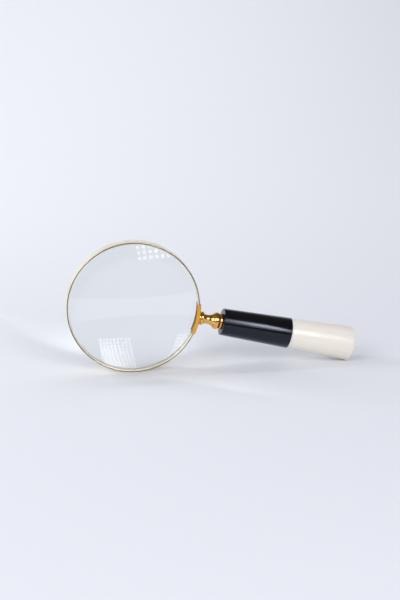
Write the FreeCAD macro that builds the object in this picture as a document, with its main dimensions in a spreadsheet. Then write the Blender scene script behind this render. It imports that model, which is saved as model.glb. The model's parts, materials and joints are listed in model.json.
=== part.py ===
"""Hand-held magnifying glass: a thick biconvex lens in a brass rim, a turned brass neck and a
two-tone handle that unscrews from it.

The glass stands as it is set down: on the rim's band and on the lower edge of the handle's butt.
+X runs from the rim to the butt, +Y is the lens axis and +Z is up. The origin is the middle of the
footprint, on the surface it stands on.

Ring pieces are drawn in (radius, along the lens axis). Handle pieces are drawn in (distance from
the lens centre along the handle, radius). One placement puts each family in its place.
"""
import FreeCAD, Part
import math
import os

import Sketcher

V = FreeCAD.Vector

SIZES = {
    # rim: one brass strip with turned-in lips, bent to a ring
    "rim_radius": 52.0,
    "rim_width": 12.0,
    "rim_wall": 0.9,
    "rim_lip_height": 1.4,
    "rim_lip_thickness": 0.9,
    "rim_bead_round": 0.65,
    "rim_groove_width": 0.5,
    "rim_groove_depth": 0.5,
    "rim_split": 0.5,
    # lens, and the two thin rings that keep it in the middle of the rim
    "lens_radius": 51.0,
    "lens_surface_radius": 220.0,
    "lens_edge_thickness": 2.8,
    "lens_bevel": 0.3,
    "seat_inner_radius": 50.2,
    "seat_rise": 0.25,
    "slip": 0.05,
    # saddle: a channel that covers the rim's joint and carries the neck
    "saddle_wall": 0.6,
    "saddle_height": 3.4,
    "saddle_span": 27.0,
    "saddle_corner_round": 0.9,
    "saddle_edge_round": 0.28,
    # neck, a turning
    "neck_root_radius": 4.5,
    "neck_root_inset": 1.5,
    "neck_root_length": 0.9,
    "neck_bead_length": 3.2,
    "neck_bead_round": 1.75,
    "neck_waist_top_radius": 4.3,
    "neck_waist_length": 8.2,
    "neck_waist_round": 7.0,
    "neck_bulb_radius": 5.9,
    "neck_bulb_round": 3.0,
    "neck_lip_radius": 6.2,
    "neck_end": 68.3,
    "neck_bore_depth": 6.0,
    "neck_seat_span": 40.0,
    # screwed joint between neck and handle
    "stud_radius": 3.0,
    "stud_end": 83.0,
    "rod_chamfer": 0.5,
    "washer_thickness": 1.0,
    "washer_radius": 5.6,
    "ferrule_flange_radius": 6.5,
    "ferrule_flange_round": 0.7,
    "ferrule_body_radius": 4.75,
    "ferrule_end": 85.5,
    # the two grips, one straight taper from end to end
    "grip_start": 71.6,
    "grip_joint": 127.2,
    "grip_end": 179.8,
    "grip_start_radius": 10.63,
    "grip_end_radius": 13.83,
    "grip_start_round": 0.4,
    "grip_end_round": 1.2,
    # dowel inside the joint between the grips
    "dowel_radius": 3.0,
    "dowel_half_length": 19.8,
    "dowel_room": 0.5,
    # how far a cutting outline reaches past what it cuts
    "cut_reach": 4.0,
}


class Dim:
    """A size from the sheet, or a sum of them: its value, and the expression that gives it."""

    def __init__(self, value, text):
        self.value = value
        self.text = text

    def _join(self, other, sign, value):
        return Dim(value(self.value, as_dim(other).value), f"({self.text} {sign} {as_dim(other).text})")

    def __add__(self, other):
        return self._join(other, "+", lambda a, b: a + b)

    def __sub__(self, other):
        return self._join(other, "-", lambda a, b: a - b)

    def __mul__(self, other):
        return self._join(other, "*", lambda a, b: a * b)

    def __truediv__(self, other):
        return self._join(other, "/", lambda a, b: a / b)

    def __neg__(self):
        return Dim(-self.value, f"(-1 * {self.text})")


def as_dim(number):
    return number if isinstance(number, Dim) else Dim(float(number), repr(float(number)))


def fill_sheet(doc):
    """Writes every driving dimension to the sheet, and returns them as Dims by name."""
    sheet = doc.addObject("Spreadsheet::Sheet", "Sizes")
    for row, (name, value) in enumerate(SIZES.items(), start=1):
        sheet.set(f"A{row}", name)
        sheet.set(f"B{row}", str(value))
        sheet.setAlias(f"B{row}", name)
    doc.recompute()
    return {name: Dim(float(sheet.get(name)), f"Sizes.{name}") for name in SIZES}


def arc_between(start, end, radius, bulge):
    """The short arc from start to end. bulge 1 bows it to the left of the way from start to end,
    and -1 to the right. Also says whether its own start point is the given start."""
    chord = end - start
    half = chord.Length / 2
    left = V(-chord.y, chord.x, 0).normalize()
    centre = (start + end) / 2 - left * bulge * math.sqrt(radius**2 - half**2)
    angles = [math.atan2(p.y - centre.y, p.x - centre.x) for p in (start, end)]
    forward = bulge < 0
    first, last = angles if forward else reversed(angles)
    if last < first:
        last += 2 * math.pi
    circle = Part.Circle(centre, V(0, 0, 1), radius)
    return Part.ArcOfCircle(circle, first, last), forward


def outline(body, name, plane, corners, arcs=None):
    """A closed sketch through the corners, each held by its two distances from the origin.
    arcs gives {side: (radius, bulge)} for the sides that aren't straight; side 0 starts at corner 0."""
    arcs = arcs or {}
    sketch = body.newObject("Sketcher::SketchObject", name)
    sketch.AttachmentSupport = [(origin_feature(body, plane), "")]
    sketch.MapMode = "FlatFace"
    corners = [(as_dim(x), as_dim(y)) for x, y in corners]
    points = [V(x.value, y.value, 0) for x, y in corners]
    ends = []
    for side, start in enumerate(points):
        end = points[(side + 1) % len(points)]
        forward = True
        if side in arcs:
            curve, forward = arc_between(start, end, arcs[side][0].value, arcs[side][1])
        else:
            curve = Part.LineSegment(start, end)
        sketch.addGeometry(curve, False)
        ends.append((1, 2) if forward else (2, 1))
    for side in range(len(points)):
        after = (side + 1) % len(points)
        sketch.addConstraint(Sketcher.Constraint("Coincident", side, ends[side][1], after, ends[after][0]))
    for side, (x, y) in enumerate(corners):
        for kind, axis, size in (("DistanceX", -2, x), ("DistanceY", -1, y)):
            if size.value == 0:
                sketch.addConstraint(Sketcher.Constraint("PointOnObject", side, ends[side][0], axis))
            else:
                bind(sketch, Sketcher.Constraint(kind, -1, 1, side, ends[side][0], size.value), size)
    for side, (radius, _) in arcs.items():
        bind(sketch, Sketcher.Constraint("Radius", side, radius.value), radius)
    return sketch


def bind(sketch, constraint, size):
    index = sketch.addConstraint(constraint)
    sketch.setExpression(f"Constraints[{index}]", size.text)


def origin_feature(body, role):
    return next(f for f in body.Origin.OriginFeatures if f.Role == role)


def new_body(doc, name):
    body = doc.addObject("PartDesign::Body", name)
    body.Label = name
    return body


def turned(body, name, sketch, axis, angle=None):
    """A solid of revolution of the sketch: all the way round, or the given angle centred on it."""
    feature = body.newObject("PartDesign::Revolution", name)
    feature.Profile = sketch
    feature.ReferenceAxis = (sketch, [axis])
    if angle is None:
        feature.Angle = 360
    else:
        feature.setExpression("Angle", angle.text)
        feature.Midplane = True
    return feature


def circles(shape, wanted):
    """Names of the circular edges for which wanted(edge) holds. A point at a pole has no curve."""
    return [
        f"Edge{i}"
        for i, edge in enumerate(shape.Edges, start=1)
        if not edge.Degenerated and isinstance(edge.Curve, Part.Circle) and wanted(edge)
    ]


def dress(body, kind, name, size, names):
    """A Fillet or Chamfer of the given size on the named edges of the body's last feature."""
    base = body.Tip
    if not names:
        raise RuntimeError(f"{body.Label}: {name} found no edges")
    feature = body.newObject(f"PartDesign::{kind}", name)
    feature.Base = (base, names)
    feature.setExpression("Radius" if kind == "Fillet" else "Size", size.text)
    return feature


def near(a, b):
    return abs(a - b) < 1e-4


# ---------------------------------------------------------------- ring pieces: (radius, along axis)


def make_rim(doc, d):
    """The strip: a wide wall with a lip turned in at each edge. Each lip's outer face is rounded, with
    a narrow groove round the middle of it. The strip's ends meet under the saddle."""
    body = new_body(doc, "rim_band")
    outer = d["rim_radius"]
    half = d["rim_width"] / 2
    lip = outer - d["rim_lip_height"]
    wall = outer - d["rim_wall"]
    inside = half - d["rim_lip_thickness"]
    corners = [
        (outer, -half), (outer, half), (lip, half), (lip, inside),
        (wall, inside), (wall, -inside), (lip, -inside), (lip, -half),
    ]
    turned(body, "RimRing", outline(body, "RimSection", "XZ_Plane", corners), "V_Axis")
    doc.recompute()
    beads = circles(body.Shape, lambda e: near(abs(e.Curve.Center.z), half.value))
    dress(body, "Fillet", "RimBeads", d["rim_bead_round"], beads)
    middle = outer - d["rim_lip_height"] / 2
    groove_in = middle - d["rim_groove_width"] / 2
    groove_out = middle + d["rim_groove_width"] / 2
    for side, name in ((1, "Rear"), (-1, "Front")):
        bottom = (half - d["rim_groove_depth"]) * side
        clear = (half + d["cut_reach"]) * side
        corners = [(groove_in, bottom), (groove_out, bottom), (groove_out, clear), (groove_in, clear)]
        section = outline(body, f"{name}GrooveSection", "XZ_Plane", corners)
        groove = body.newObject("PartDesign::Groove", f"{name}Groove")
        groove.Profile = section
        groove.ReferenceAxis = (section, ["V_Axis"])
        groove.Angle = 360
    doc.recompute()
    gap = d["rim_split"] / 2
    near_end = lip - d["cut_reach"]
    far_end = outer + d["cut_reach"]
    slot = outline(
        body, "SplitOutline", "XY_Plane",
        [(near_end, -gap), (far_end, -gap), (far_end, gap), (near_end, gap)],
    )
    pocket = body.newObject("PartDesign::Pocket", "RimSplit")
    pocket.Profile = slot
    pocket.Type = "ThroughAll"
    pocket.Midplane = True
    return body


def make_lens(doc, d):
    """Biconvex glass with a ground edge and a small bevel."""
    body = new_body(doc, "lens")
    edge = d["lens_radius"]
    half_edge = d["lens_edge_thickness"] / 2
    surface = d["lens_surface_radius"]
    sag = surface.value - math.sqrt(surface.value**2 - edge.value**2)
    crown = Dim(
        half_edge.value + sag,
        f"({half_edge.text} + {surface.text} - sqrt({surface.text}^2 - {edge.text}^2))",
    )
    corners = [(0, -crown), (edge, -half_edge), (edge, half_edge), (0, crown)]
    arcs = {0: (surface, -1), 2: (surface, -1)}
    turned(body, "LensGlass", outline(body, "LensSection", "XZ_Plane", corners, arcs), "V_Axis")
    doc.recompute()
    rims = circles(body.Shape, lambda e: near(e.Curve.Radius, edge.value))
    dress(body, "Chamfer", "LensBevel", d["lens_bevel"], rims)
    return body


def make_seat_ring(doc, d, name, side):
    """A thin ring between the lens and one lip. side is -1 at the front and 1 at the back."""
    body = new_body(doc, name)
    inner = d["seat_inner_radius"]
    outer = d["rim_radius"] - d["rim_wall"] - d["slip"]
    low = d["lens_edge_thickness"] / 2 + d["seat_rise"]
    high = d["rim_width"] / 2 - d["rim_lip_thickness"] - d["slip"]
    if side < 0:
        low, high = -high, -low
    corners = [(inner, low), (outer, low), (outer, high), (inner, high)]
    turned(body, "SeatRing", outline(body, "SeatSection", "XZ_Plane", corners), "V_Axis")
    return body


def make_saddle(doc, d):
    """A channel bent along the rim: a wall outside it and a cheek over each lip."""
    body = new_body(doc, "saddle")
    rim = d["rim_radius"]
    outer = rim + d["saddle_wall"]
    cheek = outer - d["saddle_height"]
    lip = d["rim_width"] / 2
    half = lip + d["saddle_wall"]
    corners = [
        (outer, -half), (outer, half), (cheek, half), (cheek, lip),
        (rim, lip), (rim, -lip), (cheek, -lip), (cheek, -half),
    ]
    section = outline(body, "SaddleSection", "XZ_Plane", corners)
    turned(body, "SaddleChannel", section, "V_Axis", d["saddle_span"])
    doc.recompute()
    ends = [
        f"Edge{i}"
        for i, edge in enumerate(body.Shape.Edges, start=1)
        if near(edge.Length, d["saddle_wall"].value)
        and all(near(math.hypot(v.X, v.Y), cheek.value) for v in edge.Vertexes)
    ]
    dress(body, "Fillet", "SaddleCorners", d["saddle_corner_round"], ends)
    doc.recompute()
    long_edges = circles(
        body.Shape,
        lambda e: near(abs(e.Curve.Center.z), half.value)
        and (near(e.Curve.Radius, outer.value) or near(e.Curve.Radius, cheek.value)),
    )
    dress(body, "Fillet", "SaddleEdges", d["saddle_edge_round"], long_edges)
    return body


# ------------------------------------------------- handle pieces: (distance from lens centre, radius)


def make_neck(doc, d):
    """A turning: root, bead, hollow waist and bulb. Its root is cut to the saddle's curve, and a
    blind bore at the other end takes the stud."""
    body = new_body(doc, "neck")
    saddle = d["rim_radius"] + d["saddle_wall"]
    bead = saddle + d["neck_root_length"]
    waist = bead + d["neck_bead_length"]
    bulb = waist + d["neck_waist_length"]
    end = d["neck_end"]
    bore_end = end - d["neck_bore_depth"]
    bore = d["stud_radius"] + d["slip"]
    inside_saddle = saddle - d["neck_root_inset"]
    corners = [
        (inside_saddle, 0), (bore_end, 0), (bore_end, bore), (end, bore), (end, d["neck_lip_radius"]),
        (bulb, d["neck_bulb_radius"]), (waist, d["neck_waist_top_radius"]),
        (bead, d["neck_root_radius"]), (inside_saddle, d["neck_root_radius"]),
    ]
    arcs = {
        4: (d["neck_bulb_round"], -1),
        5: (d["neck_waist_round"], 1),
        6: (d["neck_bead_round"], -1),
    }
    turned(body, "NeckTurning", outline(body, "NeckSection", "XZ_Plane", corners, arcs), "H_Axis")
    reach = d["neck_root_radius"] + d["cut_reach"]
    inner = saddle - d["cut_reach"]
    cut = outline(
        body, "SaddleCut", "XY_Plane",
        [(inner, -reach), (saddle, -reach), (saddle, reach), (inner, reach)],
    )
    groove = body.newObject("PartDesign::Groove", "SaddleSeat")
    groove.Profile = cut
    groove.ReferenceAxis = (cut, ["V_Axis"])
    groove.setExpression("Angle", d["neck_seat_span"].text)
    groove.Midplane = True
    return body


def make_rod(doc, name, start, end, radius, chamfer):
    """A plain round rod with chamfered ends."""
    body = new_body(doc, name)
    corners = [
        (start, 0), (end, 0), (end, radius - chamfer), (end - chamfer, radius),
        (start + chamfer, radius), (start, radius - chamfer),
    ]
    turned(body, "Rod", outline(body, "RodSection", "XZ_Plane", corners), "H_Axis")
    return body


def make_washer(doc, d):
    """Fibre washer between neck and ferrule, a little smaller than both."""
    body = new_body(doc, "washer")
    start = d["neck_end"] + d["slip"]
    end = start + d["washer_thickness"]
    bore = d["stud_radius"] + d["slip"]
    corners = [(start, bore), (end, bore), (end, d["washer_radius"]), (start, d["washer_radius"])]
    turned(body, "WasherRing", outline(body, "WasherSection", "XZ_Plane", corners), "H_Axis")
    return body


def make_ferrule(doc, d):
    """Threaded bush in the front grip, with the flange that shows as a collar."""
    body = new_body(doc, "ferrule")
    face = d["neck_end"] + d["slip"] + d["washer_thickness"] + d["slip"]
    shoulder = d["grip_start"]
    end = d["ferrule_end"]
    bore = d["stud_radius"] + d["slip"]
    flange = d["ferrule_flange_radius"]
    barrel = d["ferrule_body_radius"]
    corners = [
        (face, bore), (end, bore), (end, barrel), (shoulder, barrel),
        (shoulder, flange), (face, flange),
    ]
    turned(body, "FerruleTurning", outline(body, "FerruleSection", "XZ_Plane", corners), "H_Axis")
    doc.recompute()
    flange_edges = circles(body.Shape, lambda e: near(e.Curve.Radius, flange.value))
    dress(body, "Fillet", "FlangeEdges", d["ferrule_flange_round"], flange_edges)
    return body


def joint_radius(d):
    """The taper's radius where the two grips meet."""
    share = (d["grip_joint"] - d["grip_start"]) / (d["grip_end"] - d["grip_start"])
    return d["grip_start_radius"] + (d["grip_end_radius"] - d["grip_start_radius"]) * share


def make_front_grip(doc, d):
    """Front half of the taper, bored for the ferrule at one end and for the dowel at the other."""
    body = new_body(doc, "front_grip")
    start = d["grip_start"]
    joint = d["grip_joint"]
    ferrule_bore = d["ferrule_body_radius"] + d["slip"]
    ferrule_room = d["ferrule_end"] + d["dowel_room"]
    dowel_bore = d["dowel_radius"] + d["slip"]
    dowel_room = joint - d["dowel_half_length"] - d["dowel_room"]
    corners = [
        (start, ferrule_bore), (ferrule_room, ferrule_bore), (ferrule_room, 0), (dowel_room, 0),
        (dowel_room, dowel_bore), (joint, dowel_bore), (joint, joint_radius(d)),
        (start, d["grip_start_radius"]),
    ]
    turned(body, "GripTaper", outline(body, "GripSection", "XZ_Plane", corners), "H_Axis")
    doc.recompute()
    front = circles(body.Shape, lambda e: near(e.Curve.Radius, d["grip_start_radius"].value))
    dress(body, "Fillet", "FrontEdge", d["grip_start_round"], front)
    return body


def make_rear_grip(doc, d):
    """Rear half of the taper, bored for the dowel, with a rounded edge round its flat butt."""
    body = new_body(doc, "rear_grip")
    joint = d["grip_joint"]
    end = d["grip_end"]
    dowel_bore = d["dowel_radius"] + d["slip"]
    dowel_room = joint + d["dowel_half_length"] + d["dowel_room"]
    corners = [
        (joint, dowel_bore), (dowel_room, dowel_bore), (dowel_room, 0), (end, 0),
        (end, d["grip_end_radius"]), (joint, joint_radius(d)),
    ]
    turned(body, "GripTaper", outline(body, "GripSection", "XZ_Plane", corners), "H_Axis")
    doc.recompute()
    butt = circles(body.Shape, lambda e: near(e.Curve.Radius, d["grip_end_radius"].value))
    dress(body, "Fillet", "ButtEdge", d["grip_end_round"], butt)
    return body


# ------------------------------------------------------------------------------- how it stands


def standing_pose(d):
    """The handle's slope in degrees when rim and butt both touch the floor, and the lens centre."""
    rim = d["rim_radius"].value
    run = d["grip_end"].value - d["grip_start"].value
    slope = math.atan2(d["grip_end_radius"].value - d["grip_start_radius"].value, run)
    rounding = d["grip_end_round"].value
    # centre of the butt's rounded edge: distance along the handle, and radius
    along = d["grip_end"].value - rounding
    out = d["grip_end_radius"].value - rounding * (math.tan(slope) + 1 / math.cos(slope))
    tilt = math.asin((rim - rounding) / math.hypot(along, out)) - math.atan2(out, along)
    far_end = along * math.cos(tilt) + out * math.sin(tilt) + rounding
    middle = (far_end - rim) / 2
    return math.degrees(tilt), V(-middle, 0, rim)


def main():
    doc = FreeCAD.newDocument("Magnifier")
    d = fill_sheet(doc)
    bore_end = d["neck_end"] - d["neck_bore_depth"]
    ring_pieces = [
        make_rim(doc, d),
        make_lens(doc, d),
        make_seat_ring(doc, d, "front_seat_ring", -1),
        make_seat_ring(doc, d, "rear_seat_ring", 1),
        make_saddle(doc, d),
    ]
    dowel_start = d["grip_joint"] - d["dowel_half_length"]
    dowel_end = d["grip_joint"] + d["dowel_half_length"]
    handle_pieces = [
        make_neck(doc, d),
        make_rod(doc, "stud", bore_end + d["slip"], d["stud_end"], d["stud_radius"], d["rod_chamfer"]),
        make_washer(doc, d),
        make_ferrule(doc, d),
        make_front_grip(doc, d),
        make_rear_grip(doc, d),
        make_rod(doc, "dowel", dowel_start, dowel_end, d["dowel_radius"], d["rod_chamfer"]),
    ]
    tilt, centre = standing_pose(d)
    along_handle = FreeCAD.Rotation(V(0, 1, 0), tilt)
    lens_axis_to_y = FreeCAD.Rotation(V(1, 0, 0), -90)
    for body in ring_pieces:
        body.Placement = FreeCAD.Placement(centre, along_handle.multiply(lens_axis_to_y))
    for body in handle_pieces:
        body.Placement = FreeCAD.Placement(centre, along_handle)
    doc.recompute()

    bodies = ring_pieces + handle_pieces
    for item in doc.Objects:
        if "Invalid" in item.State or "Error" in item.State:
            raise RuntimeError(f"{item.Name} ({item.Label}) is {item.State}")
    for body in bodies:
        if body.Shape.isNull() or not body.Shape.isValid() or len(body.Shape.Solids) != 1:
            raise RuntimeError(f"{body.Label} isn't one valid solid")

    os.makedirs("parts", exist_ok=True)
    for body in bodies:
        body.Shape.exportStep(f"parts/{body.Label}.step")
    print(f"handle slopes {tilt:.4f} degrees; lens centre at {tuple(round(c, 4) for c in centre)}")
    for body in bodies:
        print(f"{body.Label:16s} {body.Shape.Volume:10.1f} mm3")


main()
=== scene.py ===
"""Looks for the hand-held magnifying glass: smooth turned and bent meshes over the CAD frame, their
materials, and a plain studio round them. Every size in a profile is in millimetres."""

import json
import math

import bmesh
import bpy
from mathutils import Matrix, Vector


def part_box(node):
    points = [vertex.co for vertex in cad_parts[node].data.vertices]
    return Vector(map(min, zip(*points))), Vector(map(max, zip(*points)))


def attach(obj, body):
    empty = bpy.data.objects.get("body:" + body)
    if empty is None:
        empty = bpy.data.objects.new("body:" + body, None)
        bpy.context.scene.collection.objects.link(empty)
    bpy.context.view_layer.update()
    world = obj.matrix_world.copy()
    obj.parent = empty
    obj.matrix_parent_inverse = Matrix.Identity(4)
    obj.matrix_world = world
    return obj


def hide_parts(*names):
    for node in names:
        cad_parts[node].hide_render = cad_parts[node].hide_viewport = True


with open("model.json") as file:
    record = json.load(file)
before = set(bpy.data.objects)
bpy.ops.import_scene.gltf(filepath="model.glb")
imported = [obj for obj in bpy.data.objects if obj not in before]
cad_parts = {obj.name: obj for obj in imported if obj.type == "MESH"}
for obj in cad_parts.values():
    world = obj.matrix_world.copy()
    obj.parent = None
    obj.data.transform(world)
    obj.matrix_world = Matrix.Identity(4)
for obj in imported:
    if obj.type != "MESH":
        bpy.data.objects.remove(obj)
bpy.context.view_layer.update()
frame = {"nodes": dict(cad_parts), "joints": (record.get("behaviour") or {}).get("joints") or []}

MM = 0.001
MICRON = 0.000001
# in mm, past every piece
FAR = 1000


# ---------------------------------------------------------------- the two local frames


def axes(origin, x, y):
    """A frame with its X along the turning axis."""
    z = x.cross(y)
    m = Matrix((x, y, z)).transposed().to_4x4()
    m.translation = origin
    return m


TURN = next(j for j in frame["joints"] if j["name"] == "handle_turn")
LENS_LOW, LENS_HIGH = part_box("lens")
LENS_CENTRE = (LENS_LOW + LENS_HIGH) / 2
HANDLE_WAY = Vector(TURN["axis"]).normalized()
LENS_WAY = Vector((0, 1, 0))
HANDLE = axes(LENS_CENTRE, HANDLE_WAY, LENS_WAY)
RING = axes(LENS_CENTRE, LENS_WAY, HANDLE_WAY)


def extent(node, matrix):
    """Lowest and highest place along the axis and lowest and highest radius of a CAD node, in mm."""
    to_local = matrix.inverted()
    points = [to_local @ v.co for v in frame["nodes"][node].data.vertices]
    along = [p.x / MM for p in points]
    radii = [math.hypot(p.y, p.z) / MM for p in points]
    return min(along), max(along), min(radii), max(radii)


# ---------------------------------------------------------------- profiles: (along the axis, radius)


def arc(start, end, radius, bulge, steps):
    """Points of the short arc from start to end. bulge 1 bows to the left of the way, -1 to the right."""
    ax, ay = start
    bx, by = end
    dx, dy = bx - ax, by - ay
    chord = math.hypot(dx, dy)
    inset = math.sqrt(radius**2 - chord**2 / 4) * bulge / chord
    cx, cy = (ax + bx) / 2 + dy * inset, (ay + by) / 2 - dx * inset
    first = math.atan2(ay - cy, ax - cx)
    sweep = math.atan2(by - cy, bx - cx) - first
    sweep = (sweep + math.pi) % (2 * math.pi) - math.pi
    angles = [first + sweep * i / steps for i in range(steps + 1)]
    return [(cx + radius * math.cos(angle), cy + radius * math.sin(angle)) for angle in angles]


def rounded(corners, steps):
    """The corners (along, radius, rounding) as points, each rounded corner as an arc."""
    points = []
    for i, (x, y, size) in enumerate(corners):
        if not size:
            points.append((x, y))
            continue
        here = Vector((x, y))
        before = Vector(corners[i - 1][:2]) - here
        after = Vector(corners[(i + 1) % len(corners)][:2]) - here
        half = before.angle(after) / 2
        cut = size / math.tan(half)
        a = here + before.normalized() * cut
        b = here + after.normalized() * cut
        side = 1 if before.x * after.y - before.y * after.x > 0 else -1
        points += arc(tuple(a), tuple(b), size, side, steps)
    return points


def turned_point(along, radius, angle):
    """A point about a frame's X, in metres."""
    return along * MM, radius * math.cos(angle) * MM, radius * math.sin(angle) * MM


def lathe(name, profile, matrix, segments, closed=False, span=None, sharp=40, shape=None):
    """Turns the profile about the frame's X. closed joins its ends, as for a ring's section. span turns
    it only between two angles and caps both. shape gives a vertex's (along, radius) from what it would
    be and its angle. sharp is the angle between faces, in degrees, from which their edge stays sharp."""
    mesh = bpy.data.meshes.new(name)
    bm = bmesh.new()
    first, last = span if span else (0.0, 2 * math.pi)
    count = segments + 1 if span else segments
    rows = []
    for along, radius in profile:
        row = []
        for k in range(1 if radius == 0 else count):
            angle = first + (last - first) * k / segments
            a, r = shape(along, radius, angle) if shape else (along, radius)
            row.append(bm.verts.new(turned_point(a, r, angle)))
        rows.append(row)
    pairs = list(zip(rows, rows[1:])) + ([(rows[-1], rows[0])] if closed else [])
    for one, two in pairs:
        for k in range(segments):
            n = (k + 1) % count
            if len(one) == 1:
                corners = [one[0], two[n], two[k]]
            elif len(two) == 1:
                corners = [one[k], one[n], two[0]]
            else:
                corners = [one[k], one[n], two[n], two[k]]
            bm.faces.new(corners)
    if span:
        bm.faces.new([row[0] for row in rows])
        bm.faces.new([row[-1] for row in reversed(rows)])
    bmesh.ops.recalc_face_normals(bm, faces=bm.faces)
    bm.to_mesh(mesh)
    bm.free()
    return place(name, mesh, matrix, sharp)


def place(name, mesh, matrix, sharp):
    """An object whose mesh holds its place, as a CAD node's does."""
    mesh.transform(matrix)
    mesh.polygons.foreach_set("use_smooth", [True] * len(mesh.polygons))
    mesh.set_sharp_from_angle(angle=math.radians(sharp))
    mesh.update()
    obj = bpy.data.objects.new(name, mesh)
    bpy.context.scene.collection.objects.link(obj)
    return obj


def piece(obj, body, material, node):
    """Paints the piece and makes it stand for its CAD node."""
    obj.data.materials.clear()
    obj.data.materials.append(material)
    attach(obj, body)
    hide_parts(node)


# ---------------------------------------------------------------- materials

# inputs and output of a colour Mix node, which share their names with its other kinds
MIX_SHARE, MIX_ONE, MIX_TWO, MIX_RESULT = 0, 6, 7, 2


class Paint:
    """A Principled material in the coordinates of a local frame: X runs along the turning axis, in metres.
    plain gives the sockets whose value is the same all over."""

    def __init__(self, name, matrix=None, **plain):
        self.material = bpy.data.materials.new(name)
        self.material.use_nodes = True
        self.tree = self.material.node_tree
        self.tree.nodes.clear()
        self.out = self.node("ShaderNodeOutputMaterial")
        self.bsdf = self.node("ShaderNodeBsdfPrincipled")
        self.link(self.bsdf.outputs["BSDF"], self.out.inputs["Surface"])
        self.coordinates = self.node("ShaderNodeTexCoord").outputs["Object"]
        if matrix:
            local = self.node("ShaderNodeMapping", vector_type="TEXTURE")
            local.inputs["Location"].default_value = matrix.translation
            local.inputs["Rotation"].default_value = matrix.to_euler("XYZ")
            self.link(self.coordinates, local.inputs["Vector"])
            self.coordinates = local.outputs["Vector"]
        for socket, value in plain.items():
            self.bsdf.inputs[socket.replace("_", " ")].default_value = value

    def node(self, kind, **settings):
        """A new node of this kind, with these properties."""
        made = self.tree.nodes.new(kind)
        for name, value in settings.items():
            setattr(made, name, value)
        return made

    def link(self, source, target):
        self.tree.links.new(source, target)

    def scaled(self, scale, source=None):
        """The piece's coordinates, stretched by scale on each axis."""
        mapping = self.node("ShaderNodeMapping")
        mapping.inputs["Scale"].default_value = scale
        self.link(source or self.coordinates, mapping.inputs["Vector"])
        return mapping.outputs["Vector"]

    def fill(self, node, values):
        """Sets the node's sockets of these names."""
        for name, value in values.items():
            node.inputs[name].default_value = value

    def noise(self, scale, detail=3.0, stretch=(1, 1, 1), roughness=0.5, distortion=0.0, source=None):
        """Noise with about scale features to the metre. A stretch under 1 draws it out along that axis."""
        made = self.node("ShaderNodeTexNoise")
        self.link(self.scaled(stretch, source), made.inputs["Vector"])
        self.fill(made, {"Scale": scale, "Detail": detail})
        self.fill(made, {"Roughness": roughness, "Distortion": distortion})
        return made.outputs["Fac"]

    def turned(self):
        """(along the axis, distance from the axis, 0): the same all the way round, as tool marks are."""
        split = self.node("ShaderNodeSeparateXYZ")
        self.link(self.coordinates, split.inputs["Vector"])
        squares = []
        for axis in "YZ":
            squares.append(self.maths("MULTIPLY", split.outputs[axis], split.outputs[axis]))
        radius = self.maths("SQRT", self.maths("ADD", *squares))
        joined = self.node("ShaderNodeCombineXYZ")
        self.link(split.outputs["X"], joined.inputs["X"])
        self.link(radius, joined.inputs["Y"])
        return joined.outputs["Vector"]

    def band(self, radii=(0, FAR), along=(0, FAR)):
        """1 where the distances from the axis and from the frame's YZ plane are in these ranges, in mm."""
        split = self.node("ShaderNodeSeparateXYZ")
        self.link(self.turned(), split.inputs["Vector"])
        off = self.maths("ABSOLUTE", split.outputs["X"])
        share = 1.0
        for value, (low, high) in ((split.outputs["Y"], radii), (off, along)):
            share = self.maths("MULTIPLY", share, self.maths("GREATER_THAN", value, low * MM))
            share = self.maths("MULTIPLY", share, self.maths("LESS_THAN", value, high * MM))
        return share

    def maths(self, operation, *values):
        """The result of a Math node on numbers and sockets."""
        made = self.node("ShaderNodeMath", operation=operation)
        for socket, value in zip(made.inputs, values):
            if isinstance(value, (int, float)):
                socket.default_value = value
            else:
                self.link(value, socket)
        return made.outputs["Value"]

    def spread(self, source, low, high, first=0.35, last=0.65):
        """source, from first to last, as a number from low to high."""
        made = self.node("ShaderNodeMapRange")
        self.link(source, made.inputs["Value"])
        self.fill(made, {"From Min": first, "From Max": last, "To Min": low, "To Max": high})
        return made.outputs["Result"]

    def ramp(self, source, stops):
        """source as a colour, from stops of (place, colour)."""
        made = self.node("ShaderNodeValToRGB")
        self.link(source, made.inputs["Fac"])
        elements = made.color_ramp.elements
        for _ in range(len(stops) - len(elements)):
            elements.new(0.5)
        for element, (where, colour) in zip(elements, stops):
            element.position = where
            element.color = (*colour, 1)
        return made.outputs["Color"]

    def blend(self, share, one, two):
        """Colour one, with that share of colour two."""
        made = self.node("ShaderNodeMix", data_type="RGBA")
        self.link(share, made.inputs[MIX_SHARE])
        for index, value in ((MIX_ONE, one), (MIX_TWO, two)):
            if isinstance(value, tuple):
                made.inputs[index].default_value = (*value, 1)
            else:
                self.link(value, made.inputs[index])
        return made.outputs[MIX_RESULT]

    def colour(self, source):
        """Paints the surface with this colour."""
        self.link(source, self.bsdf.inputs["Base Color"])

    def roughness(self, source):
        """Makes the surface this rough, from 0 to 1."""
        self.link(source, self.bsdf.inputs["Roughness"])

    def bump(self, *heights):
        """heights are (source, depth in microns), the last one on top."""
        normal = None
        for source, depth in heights:
            made = self.node("ShaderNodeBump")
            made.inputs["Distance"].default_value = depth * MICRON
            made.inputs["Strength"].default_value = 1.0
            self.link(source, made.inputs["Height"])
            if normal:
                self.link(normal, made.inputs["Normal"])
            normal = made.outputs["Normal"]
        self.link(normal, self.bsdf.inputs["Normal"])


def glass_paint():
    """Clear glass with a trace of green and a little dust."""
    paint = Paint("lens_glass", RING, Transmission_Weight=1.0, IOR=1.52, Roughness=0.0)
    paint.colour(paint.ramp(paint.noise(24), [(0.3, (0.975, 0.995, 0.99)), (0.7, (0.985, 1.0, 1.0))]))
    dust = paint.noise(900, detail=2)
    paint.roughness(paint.spread(dust, 0.0, 0.025, 0.62, 0.8))
    return paint.material


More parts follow.
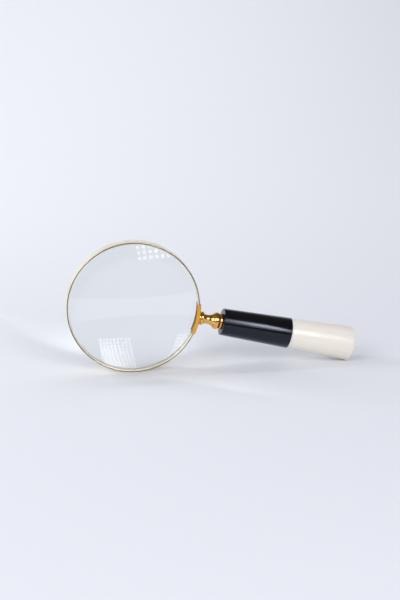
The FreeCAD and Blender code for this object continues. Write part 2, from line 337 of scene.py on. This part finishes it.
def ground_glass_paint():
    """The lens's ground edge."""
    paint = Paint("lens_ground_edge", RING, Transmission_Weight=0.6, IOR=1.52)
    grain = paint.noise(2600, detail=4)
    paint.colour(paint.ramp(grain, [(0.3, (0.72, 0.77, 0.76)), (0.7, (0.82, 0.86, 0.86))]))
    paint.roughness(paint.spread(grain, 0.45, 0.62))
    paint.bump((grain, 10))
    return paint.material


def brass_paint(name, matrix, dull, bright, rough, marks, mark_depth, waves=0, metallic=1.0, dark=()):
    """Brass with slow changes of tone from dull to bright, a few darker specks, and marks to the metre of
    tool or polishing marks round its axis. Depths are in microns; waves is that of slow unevenness. dark
    holds (band, colour) for each part that is darkened with painted shade."""
    paint = Paint(name, matrix, Metallic=metallic)
    slow = paint.noise(55, detail=3)
    tone = paint.ramp(slow, [(0.3, dull), (0.7, bright)])
    specks = paint.spread(paint.noise(620, detail=3, roughness=0.6), 0.0, 0.35, 0.68, 0.8)
    tone = paint.blend(specks, tone, tuple(c * 0.45 for c in dull))
    turned = paint.turned()
    # each dark band blends painted shade over the brass's tone
    for band, colour in dark:
        tone = paint.blend(paint.band(**band), tone, colour)
    paint.colour(tone)
    lines = paint.noise(marks, detail=4, source=turned, roughness=0.65)
    uneven = paint.maths("ADD", lines, paint.maths("MULTIPLY", slow, 0.4))
    paint.roughness(paint.spread(uneven, *rough, 0.5, 0.9))
    heights = [(lines, mark_depth)]
    if waves:
        heights.insert(0, (paint.noise(70, detail=1), waves))
    paint.bump(*heights)
    return paint.material


def steel_paint():
    """Turned steel, for the stud."""
    paint = Paint("stud_steel", HANDLE, Metallic=1.0)
    slow = paint.noise(160, detail=3)
    paint.colour(paint.ramp(slow, [(0.3, (0.46, 0.45, 0.43)), (0.7, (0.62, 0.61, 0.59))]))
    lines = paint.noise(5200, detail=3, source=paint.turned())
    paint.roughness(paint.spread(lines, 0.24, 0.42))
    paint.bump((lines, 4))
    return paint.material


def fibre_paint():
    """Dark red vulcanised fibre."""
    paint = Paint("washer_fibre", HANDLE)
    fibres = paint.noise(900, detail=5, stretch=(4, 1, 1), roughness=0.7, distortion=0.6)
    paint.colour(paint.ramp(fibres, [(0.3, (0.10, 0.012, 0.008)), (0.7, (0.24, 0.035, 0.02))]))
    paint.roughness(paint.spread(fibres, 0.6, 0.85))
    paint.bump((fibres, 30))
    return paint.material


def black_paint():
    """Polished black plastic with fine scratches along it and hazy patches."""
    paint = Paint("black_grip", HANDLE, IOR=1.5, Specular_IOR_Level=0.5, Specular_Tint=(0.70, 0.77, 1.0, 1))
    slow = paint.noise(38, detail=4)
    paint.colour(paint.ramp(slow, [(0.3, (0.0018, 0.0018, 0.0030)), (0.7, (0.0040, 0.0038, 0.0055))]))
    scratches = paint.noise(260, detail=5, stretch=(0.12, 1, 1), roughness=0.75, distortion=0.3)
    hazy = paint.noise(90, detail=4, stretch=(0.6, 1, 1))
    scratched = paint.spread(scratches, 0.0, 0.08, 0.55, 0.75)
    paint.roughness(paint.maths("ADD", scratched, paint.spread(hazy, 0.09, 0.15)))
    paint.bump((paint.noise(45, detail=2), 80), (scratches, 8))
    return paint.material


def ivory_paint():
    """Cream plastic that lets a little light in, with a faint grain along it."""
    paint = Paint(
        "ivory_grip", HANDLE, IOR=1.52, Specular_IOR_Level=0.3, Subsurface_Weight=0.5,
        Subsurface_Scale=0.006, Subsurface_Radius=(1.0, 0.8, 0.6),
    )
    grain = paint.noise(170, detail=5, stretch=(0.06, 1, 1), roughness=0.6, distortion=0.4)
    clouds = paint.noise(30, detail=3)
    tones = [(0.3, (0.755, 0.705, 0.625)), (0.55, (0.79, 0.75, 0.685)), (0.75, (0.815, 0.79, 0.735))]
    cloud = (0.79, 0.74, 0.665)
    paint.colour(paint.blend(paint.spread(clouds, 0.0, 0.5), paint.ramp(grain, tones), cloud))
    paint.roughness(paint.spread(grain, 0.17, 0.26))
    paint.bump((grain, 12))
    return paint.material


def dowel_paint():
    """Drawn steel."""
    paint = Paint("dowel_steel", HANDLE, Metallic=1.0)
    lines = paint.noise(900, detail=3, stretch=(0.1, 1, 1))
    paint.colour(paint.ramp(lines, [(0.3, (0.42, 0.41, 0.40)), (0.7, (0.58, 0.57, 0.55))]))
    paint.roughness(paint.spread(lines, 0.3, 0.45))
    return paint.material


# ---------------------------------------------------------------- the lens and its rim

# the radius of each face
LENS_SURFACE = 220.0
LENS_BEVEL = 0.3
# how much of the bevel's height is polished
LENS_POLISHED = 0.1


def make_lens():
    """Two spherical faces, a bevel at each and a ground edge."""
    low, high, _, edge = extent("lens", RING)
    rim = edge - LENS_BEVEL
    sag = LENS_SURFACE - math.sqrt(LENS_SURFACE**2 - rim**2)
    half = high - sag
    front = arc((low, 0), (-half, rim), LENS_SURFACE, 1, steps=72)
    # the pole lies on the axis itself
    front[0] = (low, 0)
    back = [(-along, radius) for along, radius in reversed(front)]
    profile = front + [(-half + LENS_BEVEL, edge), (half - LENS_BEVEL, edge)] + back
    lens = lathe("lens", profile, RING, segments=288)
    piece(lens, "frame", glass_paint(), "lens")
    lens.data.materials.append(ground_glass_paint())
    ground = (rim + LENS_POLISHED * LENS_BEVEL) * MM
    to_local = RING.inverted()
    for face in lens.data.polygons:
        if math.hypot(*(to_local @ face.center).yz) > ground:
            face.material_index = 1


RIM_WALL = 0.9
RIM_LIP = 0.9
RIM_BEAD = 0.65
RIM_SPLIT = 0.5
RIM_EDGE = 0.05
GROOVE_WIDTH = 0.5
GROOVE_DEPTH = 0.5
GROOVE_EDGE = 0.05
# how far the painted shade in the groove spreads past each of its sides
GROOVE_SHADE_SPREAD = 0.06


def rim_paint():
    """Pale brass, with painted shade in the groove of each lip."""
    _, _, inner, outer = extent("rim_band", RING)
    middle = (inner + outer) / 2
    reach = GROOVE_WIDTH / 2 + GROOVE_SHADE_SPREAD
    # painted shade: the groove and a strip past each of its sides are painted near black
    groove = {"radii": (middle - reach, middle + reach)}
    return brass_paint(
        "rim_brass", RING, dull=(0.94, 0.855, 0.64), bright=(1.0, 0.935, 0.755), rough=(0.22, 0.34),
        marks=900, mark_depth=4, waves=40, metallic=0.72, dark=[(groove, (0.08, 0.065, 0.05))],
    )


def make_rim(paint):
    """A channel bent to a ring. Each lip's rounded face has a narrow groove round its middle."""
    _, high, inner, outer = extent("rim_band", RING)
    middle = (inner + outer) / 2
    flat = (outer - inner) / 2 - RIM_BEAD
    groove = GROOVE_WIDTH / 2
    reach = outer - middle - groove
    steps = 10

    def face(radius):
        """How far along the axis the lip's rounded face is at this radius."""
        past = max(0.0, abs(radius - middle) - flat)
        return high - RIM_BEAD + math.sqrt(RIM_BEAD**2 - past**2)

    radii = [outer - reach * (i / steps) ** 2 for i in range(steps + 1)]
    lip = [(face(radius), radius) for radius in radii]
    along, radius = lip.pop()
    along, radius = along - GROOVE_EDGE / 3, radius + GROOVE_EDGE / 3
    lip += [(along, radius), (along - GROOVE_EDGE, middle + groove), (high - GROOVE_DEPTH, middle + groove)]
    mirrored = [(along, 2 * middle - radius) for along, radius in reversed(lip)]
    inside = high - RIM_LIP
    wall = outer - RIM_WALL
    half_outline = lip + mirrored + [(inside + RIM_EDGE, inner), (inside, inner + RIM_EDGE), (inside, wall)]
    outline = half_outline + [(-along, radius) for along, radius in reversed(half_outline)]
    split = RIM_SPLIT / 2 / outer
    span = (split, 2 * math.pi - split)
    rim = lathe("rim_band", outline, RING, segments=480, closed=True, span=span, sharp=35)
    piece(rim, "frame", paint, "rim_band")


SEAT_ROUND = 0.15


def seat_paint():
    """The rim's brass, duller."""
    return brass_paint(
        "seat_brass", RING, dull=(0.95, 0.91, 0.80), bright=(1.0, 0.97, 0.88), rough=(0.38, 0.50),
        marks=900, mark_depth=4, metallic=0.6,
    )


def make_seat_ring(node, paint):
    """A thin flat ring between the lens and a lip."""
    low, high, inner, outer = extent(node, RING)
    corners = [(low, inner, SEAT_ROUND), (low, outer, 0), (high, outer, 0), (high, inner, SEAT_ROUND)]
    ring = lathe(node, rounded(corners, steps=3), RING, segments=288, closed=True)
    piece(ring, "frame", paint, node)


SADDLE_WALL = 0.6
SADDLE_SPAN = math.radians(27)
SADDLE_CORNER = 0.9
SADDLE_SHOULDER_WIDTH = 0.2
SADDLE_SHOULDER_DROP = 0.25
SADDLE_EDGE = 0.1
SADDLE_BEVEL = 0.12
CHEEK_CROWN = 0.12
# how wide the painted shade line along each long edge of a cheek is, and how far painted shade comes up
# inside the channel
SADDLE_SHADE_LINE = 0.3
SADDLE_SHADE_RISE = 0.15


def saddle_paint():
    """Orange gold, with painted shade: a brown line along each cheek's edges and grey inside the channel.
    """
    _, lip, _, _ = extent("rim_band", RING)
    _, cheek, inner, outer = extent("saddle", RING)
    inside = {"radii": (0, outer - SADDLE_WALL / 2), "along": (0, lip + SADDLE_SHADE_RISE)}
    shaded_inner_edge = {"radii": (0, inner + SADDLE_SHADE_LINE)}
    shoulder = outer - SADDLE_SHOULDER_DROP - SADDLE_EDGE
    shaded_outer_edge = {"radii": (shoulder, FAR), "along": (cheek - SADDLE_SHADE_LINE, FAR)}
    # brown and grey are painted shade: the line along the cheeks' edges and the inside of the channel
    brown, grey = (0.30, 0.17, 0.05), (0.17, 0.13, 0.10)
    return brass_paint(
        "saddle_brass", RING, dull=(0.97, 0.455, 0.06), bright=(1.0, 0.54, 0.09), rough=(0.24, 0.36),
        marks=1600, mark_depth=4, dark=[(shaded_inner_edge, brown), (shaded_outer_edge, brown), (inside, grey)],
    )


def make_saddle(paint):
    """A curved channel over the rim's joint. Its two cheeks are slightly crowned."""
    _, high, inner, outer = extent("saddle", RING)
    wall = outer - SADDLE_WALL
    lip = high - SADDLE_WALL
    edge = high - CHEEK_CROWN
    top = outer - SADDLE_SHOULDER_DROP
    bottom = inner + SADDLE_EDGE
    crown = ((top - bottom) / 2) ** 2 / 2 / CHEEK_CROWN + CHEEK_CROWN / 2
    right = arc((edge, top), (edge, bottom), crown, 1, steps=12)
    left = [(-along, radius) for along, radius in reversed(right)]
    outline = right + [(edge - SADDLE_EDGE, inner), (lip, inner), (lip, wall)]
    outline += [(-lip, wall), (-lip, inner), (-edge + SADDLE_EDGE, inner)] + left
    outline += [(-edge + SADDLE_SHOULDER_WIDTH, outer), (edge - SADDLE_SHOULDER_WIDTH, outer)]
    span = SADDLE_SPAN / 2

    def cornered(along, radius, angle):
        """The cheeks' inner edge curves outward over the last stretch before each end."""
        past = SADDLE_CORNER - (span - abs(angle)) * inner
        rise = SADDLE_CORNER - math.sqrt(SADDLE_CORNER**2 - past**2) if past > 0 else 0.0
        return along, max(radius, inner + rise + min(radius - inner, SADDLE_EDGE))

    saddle = lathe(
        "saddle", outline, RING, segments=320, closed=True, span=(-span, span), sharp=50, shape=cornered,
    )
    bevel = saddle.modifiers.new("edges", "BEVEL")
    bevel.width = SADDLE_BEVEL * MM
    bevel.segments = 2
    bevel.limit_method = "ANGLE"
    bevel.angle_limit = math.radians(60)
    piece(saddle, "frame", paint, "saddle")


# ---------------------------------------------------------------- neck and handle

# rings of points on the root's face, close enough for it to follow the saddle
NECK_ROOT_RADII = (0, 1.5, 3.0, 4.2)
NECK_BEAD_START = 0.9
NECK_BEAD_RADIUS = 4.5
NECK_BEAD_LENGTH = 3.2
NECK_BEAD_ROUND = 1.75
NECK_WAIST_RADIUS = 4.3
NECK_WAIST_LENGTH = 8.2
NECK_WAIST_ROUND = 7.0
NECK_BULB_RADIUS = 5.9
NECK_BULB_ROUND = 3.0
# along the axis and across it
NECK_LIP_EDGE = (0.12, 0.05)
NECK_FACE_EDGE = 0.2
NECK_BORE_EDGE = 0.3
STUD_GAP = 0.05


def neck_paint():
    """Polished brass, for the neck and the ferrule."""
    return brass_paint(
        "neck_brass", HANDLE, dull=(0.80, 0.43, 0.11), bright=(0.92, 0.56, 0.19), rough=(0.07, 0.17),
        marks=2400, mark_depth=2,
    )


def make_neck(paint):
    """A turning: root, bead, hollow waist and bulb, with a blind hole for the stud."""
    _, end, _, lip = extent("neck", HANDLE)
    _, _, _, root = extent("saddle", RING)
    stud_start, _, _, stud = extent("stud", HANDLE)
    bore = stud + STUD_GAP
    bore_end = stud_start - STUD_GAP
    bead = root + NECK_BEAD_START
    waist = bead + NECK_BEAD_LENGTH
    bulb = waist + NECK_WAIST_LENGTH
    lip_edge = (end - NECK_LIP_EDGE[0], lip - NECK_LIP_EDGE[1])
    profile = [(root, radius) for radius in (*NECK_ROOT_RADII, NECK_BEAD_RADIUS)]
    profile += arc((bead, NECK_BEAD_RADIUS), (waist, NECK_WAIST_RADIUS), NECK_BEAD_ROUND, 1, steps=14)
    profile += arc((waist, NECK_WAIST_RADIUS), (bulb, NECK_BULB_RADIUS), NECK_WAIST_ROUND, -1, steps=22)[1:]
    profile += arc((bulb, NECK_BULB_RADIUS), lip_edge, NECK_BULB_ROUND, 1, steps=14)[1:]
    profile += [(end, lip - NECK_FACE_EDGE), (end, bore + NECK_BORE_EDGE), (end - NECK_BORE_EDGE, bore)]
    profile += [(bore_end, bore), (bore_end, 0)]

    def seated(along, radius, angle):
        """The root follows the saddle's curve."""
        if along > root:
            return along, radius
        return math.sqrt(root**2 - (radius * math.sin(angle)) ** 2), radius

    neck = lathe("neck", profile, HANDLE, segments=192, sharp=35, shape=seated)
    piece(neck, "frame", paint, "neck")


PITCH = 1.0
THREAD_DEPTH = 0.5
THREAD_FLANK = 1.3
THREAD_CREST = 0.15
THREAD_CHAMFER = 0.55
STUD_AROUND = 60
STUD_PER_PITCH = 10
# in metres: points this close become one, and edges this short go
STUD_WELD = 1e-7
STUD_SLIVER = 1e-8


def make_stud():
    """A rod with a right-hand helical thread. Its rows follow the helix, so that crests stay sharp."""
    low, high, _, major = extent("stud", HANDLE)

    def radius(along, angle):
        """The thread's surface, cut back by a chamfer at each end."""
        phase = (along / PITCH - angle / (2 * math.pi)) % 1.0
        thread = min(1.0, max(0.0, abs(phase - 0.5) * 2 * THREAD_FLANK - THREAD_CREST))
        end = major - THREAD_CHAMFER
        return min(major - THREAD_DEPTH * thread, max(min(along - low, high - along) + end, end))

    bm = bmesh.new()
    rows = []
    first = math.floor(low / PITCH) - 1
    count = int((high - low) / PITCH + 3) * STUD_PER_PITCH
    for i in range(count + 1):
        row = []
        for k in range(STUD_AROUND + 1):
            angle = 2 * math.pi * k / STUD_AROUND
            along = min(high, max(low, (first + i / STUD_PER_PITCH + k / STUD_AROUND) * PITCH))
            row.append(bm.verts.new(turned_point(along, radius(along, angle), angle)))
        rows.append(row)
    for one, two in zip(rows, rows[1:]):
        for k in range(STUD_AROUND):
            bm.faces.new([one[k], one[k + 1], two[k + 1], two[k]])
    bmesh.ops.remove_doubles(bm, verts=bm.verts, dist=STUD_WELD)
    bmesh.ops.dissolve_degenerate(bm, edges=bm.edges, dist=STUD_SLIVER)
    bmesh.ops.holes_fill(bm, edges=[e for e in bm.edges if e.is_boundary], sides=0)
    bmesh.ops.recalc_face_normals(bm, faces=bm.faces)
    mesh = bpy.data.meshes.new("stud")
    bm.to_mesh(mesh)
    bm.free()
    stud = place("stud", mesh, HANDLE, sharp=30)
    piece(stud, "frame", steel_paint(), "stud")


WASHER_HOLE_ROUND = 0.1
WASHER_EDGE_ROUND = 0.25


def make_washer():
    """A flat ring with rounded edges, between neck and ferrule."""
    low, high, inner, outer = extent("washer", HANDLE)
    hole = [(low, inner, WASHER_HOLE_ROUND), (high, inner, WASHER_HOLE_ROUND)]
    edge = [(high, outer, WASHER_EDGE_ROUND), (low, outer, WASHER_EDGE_ROUND)]
    washer = lathe("washer", rounded(hole + edge, steps=5), HANDLE, segments=160, closed=True)
    piece(washer, "washer", fibre_paint(), "washer")


FERRULE_BARREL = 4.75
FERRULE_FLANGE_ROUND = 0.7
FERRULE_END_ROUND = 0.3
FERRULE_MOUTH = 0.35


def make_ferrule(paint):
    """A flanged bush. Its flange stands in front of the grip."""
    low, high, inner, flange = extent("ferrule", HANDLE)
    shoulder, _, _, _ = extent("front_grip", HANDLE)
    corners = [
        (low, inner + FERRULE_MOUTH, 0),
        (low, flange, FERRULE_FLANGE_ROUND),
        (shoulder, flange, FERRULE_FLANGE_ROUND),
        (shoulder, FERRULE_BARREL, 0),
        (high, FERRULE_BARREL, FERRULE_END_ROUND),
        (high, inner, 0),
        (low + FERRULE_MOUTH, inner, 0),
    ]
    ferrule = lathe("ferrule", rounded(corners, steps=7), HANDLE, segments=192, closed=True)
    piece(ferrule, "handle", paint, "ferrule")


# the handle's radius at each end, before its edge is rounded
GRIP_START = 10.63
GRIP_END = 13.83
GRIP_START_ROUND = 0.4
GRIP_JOINT_ROUND = 0.12
GRIP_END_ROUND = 1.2
# glued parts sit this far off the walls of their holes, and their holes are this much deeper
GLUE_GAP = 0.05
ROOM = 0.5


def make_front_grip():
    """A tapered barrel, with a blind hole at each end for the ferrule and the dowel."""
    low, high, _, outer = extent("front_grip", HANDLE)
    dowel_start, _, _, dowel = extent("dowel", HANDLE)
    _, ferrule_end, _, _ = extent("ferrule", HANDLE)
    bore = FERRULE_BARREL + GLUE_GAP
    socket = dowel + GLUE_GAP
    corners = [
        (ferrule_end + ROOM, 0, 0),
        (ferrule_end + ROOM, bore, 0),
        (low, bore, 0),
        (low, GRIP_START, GRIP_START_ROUND),
        (high, outer, GRIP_JOINT_ROUND),
        (high, socket, 0),
        (dowel_start - ROOM, socket, 0),
        (dowel_start - ROOM, 0, 0),
    ]
    grip = lathe("front_grip", rounded(corners, steps=6), HANDLE, segments=256)
    piece(grip, "handle", black_paint(), "front_grip")


def make_rear_grip():
    """The same taper carried on to the butt, with a blind hole for the dowel."""
    low, high, _, _ = extent("rear_grip", HANDLE)
    _, _, _, joint = extent("front_grip", HANDLE)
    _, dowel_end, _, dowel = extent("dowel", HANDLE)
    socket = dowel + GLUE_GAP
    corners = [
        (dowel_end + ROOM, 0, 0),
        (dowel_end + ROOM, socket, 0),
        (low, socket, 0),
        (low, joint, GRIP_JOINT_ROUND),
        (high, GRIP_END, GRIP_END_ROUND),
        (high, 0, 0),
    ]
    grip = lathe("rear_grip", rounded(corners, steps=10), HANDLE, segments=256)
    piece(grip, "handle", ivory_paint(), "rear_grip")


def paint_dowel():
    """The dowel keeps the CAD's shape."""
    dowel = frame["nodes"]["dowel"]
    dowel.data.materials.clear()
    dowel.data.materials.append(dowel_paint())


# ---------------------------------------------------------------- stage, lights and camera: in metres

SWEEP_NEAR, SWEEP_BEND = -3.2, 0.55
SWEEP_RISE, SWEEP_RUN = 0.95, 1.9
SWEEP_TOP = 3.6
SWEEP_SIDE = 5.0
SWEEP_STEPS = 48


def make_floor():
    """A pale sweep: a flat floor that rises ever more steeply to a leaning wall."""
    line = [(SWEEP_NEAR, 0.0), (SWEEP_BEND, 0.0)]
    for i in range(1, SWEEP_STEPS + 1):
        share = i / SWEEP_STEPS
        line.append((SWEEP_BEND + SWEEP_RUN * share, SWEEP_RISE * share**3))
    y, z = line[-1]
    line.append((y + (SWEEP_TOP - z) * SWEEP_RUN / (3 * SWEEP_RISE), SWEEP_TOP))
    bm = bmesh.new()
    rows = [[bm.verts.new((x, y, z)) for x in (-SWEEP_SIDE, SWEEP_SIDE)] for y, z in line]
    for one, two in zip(rows, rows[1:]):
        bm.faces.new([one[0], one[1], two[1], two[0]])
    mesh = bpy.data.meshes.new("sweep")
    bm.to_mesh(mesh)
    bm.free()
    floor = place("sweep", mesh, Matrix.Identity(4), sharp=60)
    paper = (0.80, 0.815, 0.85, 1)
    paint = Paint("sweep_paper", Base_Color=paper, Roughness=0.9, Specular_IOR_Level=0.1)
    mesh.materials.append(paint.material)


def toward(azimuth, elevation):
    """A direction from the glass: azimuth 0 is toward -Y, where the camera is, and 90 toward +X."""
    a, e = math.radians(azimuth), math.radians(elevation)
    return Vector((math.sin(a) * math.cos(e), -math.cos(a) * math.cos(e), math.sin(e)))


def facing(spot, target):
    """A frame at spot whose -Z points at target."""
    m = (target - spot).to_track_quat("-Z", "Y").to_matrix().to_4x4()
    m.translation = spot
    return m


def area_light(name, spot, target, size, power, colour):
    """A lamp that lights matt surfaces only. power is in watts."""
    data = bpy.data.lights.new(name, "AREA")
    data.shape = "RECTANGLE"
    data.size, data.size_y = size
    data.energy = power
    data.color = colour
    lamp = bpy.data.objects.new(name, data)
    bpy.context.scene.collection.objects.link(lamp)
    lamp.matrix_world = facing(spot, target)
    lamp.visible_camera = False
    lamp.visible_glossy = False


def card(name, spot, target, size, material):
    """A flat card that only mirrors and glass see."""
    w, h = size[0] / 2, size[1] / 2
    mesh = bpy.data.meshes.new(name)
    mesh.from_pydata([(-w, -h, 0), (w, -h, 0), (w, h, 0), (-w, h, 0)], [], [(0, 1, 2, 3)])
    mesh.materials.append(material)
    made = bpy.data.objects.new(name, mesh)
    bpy.context.scene.collection.objects.link(made)
    made.matrix_world = facing(spot, target)
    made.visible_camera = False
    made.visible_diffuse = False
    made.visible_shadow = False


def glow(name, colour, bright, dim, cells, line, hot):
    """A grid of bright cells between dim lines, as a soft box's honeycomb shows. cells is a cell's size and
    line the share of it that is line. hot is the place on the card of the brightest spot, that spot's
    reaches, and how much brightness there is away from it and more at it."""
    paint = Paint(name)
    emit = paint.node("ShaderNodeEmission")
    paint.link(emit.outputs["Emission"], paint.out.inputs["Surface"])
    split = paint.node("ShaderNodeSeparateXYZ")
    paint.link(paint.coordinates, split.inputs["Vector"])
    shares = []
    for axis, cell in zip("XY", cells):
        wrapped = paint.maths("FRACT", paint.maths("DIVIDE", split.outputs[axis], cell))
        shares.append(paint.maths("GREATER_THAN", wrapped, line))
    share = paint.maths("MULTIPLY", *shares)
    spot, reaches, away, more = hot
    squares = []
    for axis, middle, reach in zip("XY", spot, reaches):
        off = paint.maths("DIVIDE", paint.maths("SUBTRACT", split.outputs[axis], middle), reach)
        squares.append(paint.maths("MULTIPLY", off, off))
    fall = paint.maths("EXPONENT", paint.maths("MULTIPLY", paint.maths("ADD", *squares), -1.0))
    fall = paint.maths("MULTIPLY_ADD", fall, more, away)
    strength = paint.maths("MULTIPLY", paint.spread(share, dim, bright, 0, 1), fall)
    paint.link(strength, emit.inputs["Strength"])
    emit.inputs["Color"].default_value = (*colour, 1)
    return paint.material


# how far the grid hangs in front of its lamp
GRID_GAP = 0.01


def soft_box(name, way, distance, size, power, colour, cells, line, contrast, hot):
    """A lamp, and just in front of it a grid for mirrors and glass. contrast is the cells' brightness to
    the lines'. Before hot changes it, the grid's mean brightness is the lamp's own."""
    mean = power / math.pi / (size[0] * size[1])
    open_share = (1 - line) ** 2
    dim = mean / (1 + (contrast - 1) * open_share)
    area_light(name, LENS_CENTRE + way * distance, LENS_CENTRE, size, power, colour)
    front = LENS_CENTRE + way * (distance - GRID_GAP)
    shine = glow(name + "_glow", colour, dim * contrast, dim, cells, line, hot)
    card(name + "_grid", front, LENS_CENTRE, size, shine)


# mirrors and glass see a dark room from the table's near edge on
TABLE_EDGE = -0.345
TABLE_WIDTH = 6.0
CARD_HEIGHT = 0.0005


def make_lights():
    """Two soft boxes, a lamp for the wall, one from the side and a dark foreground in reflections."""
    soft_box(
        "key", toward(21, 25), distance=1.3, size=(0.62, 0.78), power=6.3, colour=(1.0, 0.985, 0.95),
        cells=(0.069, 0.065), line=0.40, contrast=12, hot=((0.15, 0.04), (0.22, 0.2), 0.45, 3.0),
    )
    soft_box(
        "left", toward(-50, 28), distance=1.5, size=(1.05, 1.0), power=11.0, colour=(0.99, 1.0, 0.96),
        cells=(0.09, 0.09), line=0.38, contrast=9, hot=((0.0, 0.0), (1.0, 1.0), 0.0, 1.0),
    )
    area_light(
        "wall", spot=Vector((0.0, 0.5, 1.6)), target=Vector((0.0, 2.2, 0.7)), size=(2.0, 0.5),
        power=18.3, colour=(1.0, 1.0, 0.93),
    )
    area_light(
        "side", spot=Vector((-1.5, 0.6, 0.9)), target=Vector((-0.3, 0.6, 0)), size=(0.8, 0.8),
        power=9.8, colour=(0.98, 1.0, 0.98),
    )
    dark = Paint("dark_card", Base_Color=(0.02, 0.02, 0.02, 1), Roughness=1.0, Specular_IOR_Level=0.0)
    middle = Vector((0, (TABLE_EDGE + SWEEP_NEAR) / 2, CARD_HEIGHT))
    above = middle + Vector((0, 0, 1))
    card("table_edge", middle, above, (TABLE_WIDTH, TABLE_EDGE - SWEEP_NEAR), dark.material)


def make_world():
    """A pale room for the light it gives, and a dim one for what polished metal mirrors."""
    world = bpy.data.worlds.new("studio")
    bpy.context.scene.world = world
    world.use_nodes = True
    tree = world.node_tree
    room = tree.nodes["Background"]
    mirrored = tree.nodes.new("ShaderNodeBackground")
    for node, colour, strength in ((room, (0.83, 0.84, 1.0), 0.46), (mirrored, (1.0, 0.94, 0.82), 0.15)):
        node.inputs["Color"].default_value = (*colour, 1)
        node.inputs["Strength"].default_value = strength
    path = tree.nodes.new("ShaderNodeLightPath")
    mix = tree.nodes.new("ShaderNodeMixShader")
    tree.links.new(path.outputs["Is Glossy Ray"], mix.inputs["Fac"])
    tree.links.new(room.outputs["Background"], mix.inputs[1])
    tree.links.new(mirrored.outputs["Background"], mix.inputs[2])
    tree.links.new(mix.outputs["Shader"], tree.nodes["World Output"].inputs["Surface"])


# in degrees
CAMERA_TURN = -9.07
CAMERA_ELEVATION = 14.55
CAMERA_ROLL = 0.17
# in metres
CAMERA_DISTANCE = 0.792
# where it looks, from the point under the lens: to the right and up, as it sees them
AIM_RIGHT = 0.0520
AIM_UP = 0.0555
# in millimetres
CAMERA_LENS = 60
CAMERA_SENSOR = 36


def make_camera():
    """In front of the glass, a little above it and to its left."""
    turn = math.radians(CAMERA_TURN)
    right = Vector((math.cos(turn), math.sin(turn), 0))
    back = toward(CAMERA_TURN, CAMERA_ELEVATION)
    up = back.cross(right)
    foot = Vector((LENS_CENTRE.x, LENS_CENTRE.y, 0))
    aim = foot + right * AIM_RIGHT + up * AIM_UP
    roll = Matrix.Rotation(-math.radians(CAMERA_ROLL), 3, back)
    data = bpy.data.cameras.new("camera")
    data.lens = CAMERA_LENS
    data.sensor_width = CAMERA_SENSOR
    camera = bpy.data.objects.new("camera", data)
    bpy.context.scene.collection.objects.link(camera)
    m = Matrix((roll @ right, roll @ up, back)).transposed().to_4x4()
    m.translation = LENS_CENTRE + roll @ (aim - LENS_CENTRE) + back * CAMERA_DISTANCE
    camera.matrix_world = m
    bpy.context.scene.camera = camera


def main():
    """Every piece of the glass, then the studio."""
    bpy.context.scene.view_settings.view_transform = "Standard"
    bpy.context.scene.cycles.blur_glossy = 0
    rim_brass = rim_paint()
    seat_brass = seat_paint()
    saddle_brass = saddle_paint()
    neck_brass = neck_paint()
    make_lens()
    make_rim(rim_brass)
    make_seat_ring("front_seat_ring", seat_brass)
    make_seat_ring("rear_seat_ring", seat_brass)
    make_saddle(saddle_brass)
    make_neck(neck_brass)
    make_stud()
    make_washer()
    make_ferrule(neck_brass)
    make_front_grip()
    make_rear_grip()
    paint_dowel()
    make_floor()
    make_lights()
    make_world()
    make_camera()


main()
